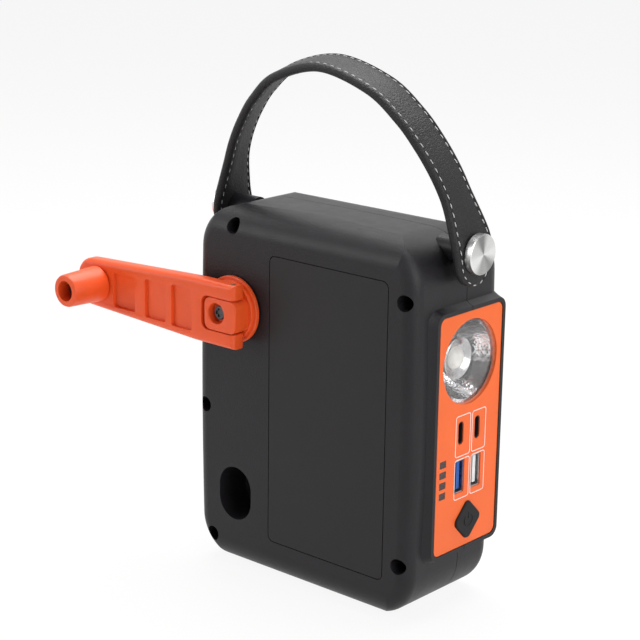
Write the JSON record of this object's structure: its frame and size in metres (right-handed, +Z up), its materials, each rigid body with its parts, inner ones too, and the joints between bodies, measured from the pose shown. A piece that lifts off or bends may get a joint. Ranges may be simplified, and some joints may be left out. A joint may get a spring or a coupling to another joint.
{
  "type": "hand crank phone charger",
  "caption": "Hand-held power bank with a folding crank, round torch, phone charging sockets, power button, area lamp and swinging carry strap.",
  "frame": {"origin": "middle of the case in X, on the parting plane of its two shells in Y, on the plane under the feet in Z", "axes": "+Z up the standing charger, -Y towards the crank face, +X towards the socket panel, +Y towards the lamp face"},
  "size_m": [0.1835, 0.0829, 0.2139],
  "materials": {
    "housing_black": "fine spark texture",
    "orange_panel": "smooth satin",
    "orange_crank": "smooth satin",
    "rubber_black": "matte",
    "leather_black": "grained",
    "stud_metal": "turned and polished",
    "screw_steel": "dark oxide",
    "bright_steel": "bright",
    "brass_pin": "plain",
    "reflector_chrome": "orange peel",
    "clear_lens": "clear",
    "gauge_smoke": "dark window",
    "led_yellow": "phosphor",
    "socket_steel": "plated",
    "tongue_blue": "plain",
    "tongue_white": "plain",
    "board_green": "solder mask",
    "component_black": "moulded",
    "gear_nylon": "moulded",
    "cell_wrap": "shrink sleeve",
    "inner_plastic": "moulded",
    "lamp_opal": "opal"
  },
  "bodies": {
    "case": {"crank_side_shell": "housing_black", "lamp_side_shell": "housing_black", "face_inlay": "inner_plastic", "rubber_feet": "rubber_black", "housing_screws": "screw_steel", "port_panel": "orange_panel", "charge_gauge_lens": "gauge_smoke", "torch_reflector": "reflector_chrome", "torch_lens": "clear_lens", "torch_led": "led_yellow", "usb_a_socket_near": "socket_steel", "usb_a_socket_far": "socket_steel", "usb_a_tongue_near": "tongue_blue", "usb_a_tongue_far": "tongue_white", "usb_c_socket_near": "socket_steel", "usb_c_socket_far": "socket_steel", "port_board": "board_green", "port_board_screws": "bright_steel", "button_switch": "inner_plastic", "shaft_bush": "inner_plastic", "idler_axle": "bright_steel", "gearbox_plate": "inner_plastic", "gearbox_screws": "bright_steel", "generator_case": "bright_steel", "battery_cells": "cell_wrap", "cell_holder_lower": "inner_plastic", "cell_holder_upper": "inner_plastic", "main_board": "board_green", "board_components": "component_black", "main_board_screws": "bright_steel", "lamp_diffuser": "lamp_opal", "lamp_board": "board_green", "lamp_leds": "led_yellow", "lamp_board_screws": "bright_steel", "strap_stud_right": "stud_metal", "strap_stud_left": "stud_metal"},
    "crank": {"crank_hub": "orange_crank", "crank_hinge_pin": "brass_pin", "hub_screw": "screw_steel", "drive_shaft": "bright_steel", "shaft_clip": "bright_steel", "drive_gear": "gear_nylon"},
    "arm": {"crank_arm": "orange_crank", "knob_axle": "bright_steel"},
    "knob": {"crank_knob": "orange_crank"},
    "idler": {"idler_gear": "gear_nylon"},
    "rotor": {"generator_rotor": "bright_steel"},
    "button": {"power_button": "rubber_black"},
    "strap": {"carry_strap": "leather_black"}
  },
  "joints": [
    {"name": "crank_spin", "type": "hinge", "parent": "case", "child": "crank", "pos_m": [-0.0345, 0, 0.1113], "axis": [0, 1, 0], "continuous": true},
    {"name": "crank_fold", "type": "hinge", "parent": "crank", "child": "arm", "pos_m": [-0.0285, -0.03985, 0.1113], "axis": [0, 0, 1], "range_deg": [0, 160]},
    {"name": "knob_spin", "type": "hinge", "parent": "arm", "child": "knob", "pos_m": [-0.1032, -0.05, 0.1113], "axis": [0, 1, 0], "continuous": true},
    {"name": "power_button_press", "type": "slide", "parent": "case", "child": "button", "axis": [-1, 0, 0], "range_m": [0, 0.001], "stiffness_N_per_m": 1200, "springref_m": -0.0002},
    {"name": "strap_swing", "type": "hinge", "parent": "case", "child": "strap", "pos_m": [0, -0.0052, 0.146], "axis": [1, 0, 0], "range_deg": [-92, 10]},
    {"name": "idler_spin", "type": "hinge", "parent": "case", "child": "idler", "pos_m": [-0.01495, 0, 0.10419], "axis": [0, 1, 0], "continuous": true},
    {"name": "rotor_spin", "type": "hinge", "parent": "case", "child": "rotor", "pos_m": [-0.0127, 0, 0.08814], "axis": [0, 1, 0], "continuous": true}
  ],
  "couplings": [
    {"joint": "idler_spin", "follows": "crank_spin", "ratio": -3.3333},
    {"joint": "rotor_spin", "follows": "crank_spin", "ratio": 11.667}
  ]
}
